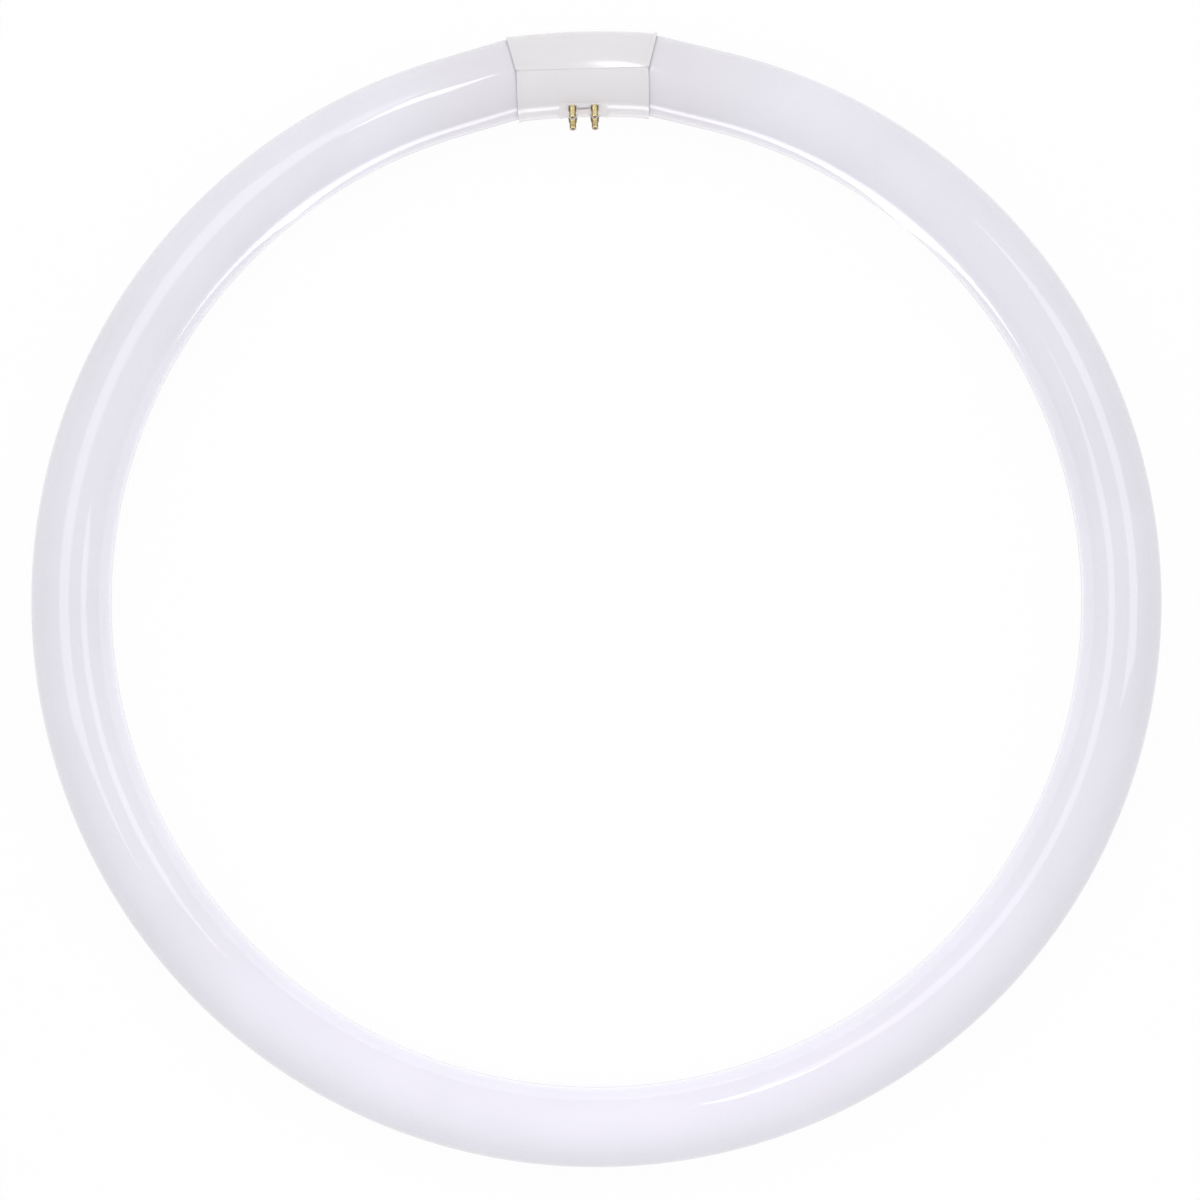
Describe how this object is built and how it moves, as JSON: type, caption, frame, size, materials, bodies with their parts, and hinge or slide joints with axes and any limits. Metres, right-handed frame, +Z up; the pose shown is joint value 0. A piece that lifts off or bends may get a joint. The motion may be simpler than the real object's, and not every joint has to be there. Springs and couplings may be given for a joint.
{
  "type": "circular fluorescent tube",
  "caption": "Ring-shaped fluorescent lamp: a white coated glass tube bent into a circle, its ends joined by a moulded base with contact pins on the inner side.",
  "frame": {"origin": "the ring's axis on the floor that the ring lies on", "axes": "+Z up along the ring's axis, +Y from the ring's middle to the base, +X along the base"},
  "size_m": [0.4064, 0.4084, 0.0309],
  "materials": {
    "coated_glass": "clear soda-lime glass, coated white inside",
    "base_plastic": "moulded, semi-gloss",
    "pin_brass": "turned",
    "lead_wire": "drawn and tinned",
    "solder": "as solidified"
  },
  "bodies": {
    "root": {"glass_tube": "coated_glass", "base_outer_shell": "base_plastic", "base_inner_shell": "base_plastic", "solder_tips": "solder", "contact_pin_1": "pin_brass", "contact_pin_2": "pin_brass", "contact_pin_3": "pin_brass", "contact_pin_4": "pin_brass", "lead_wire_1": "lead_wire", "lead_wire_2": "lead_wire", "lead_wire_3": "lead_wire", "lead_wire_4": "lead_wire"}
  },
  "joints": []
}
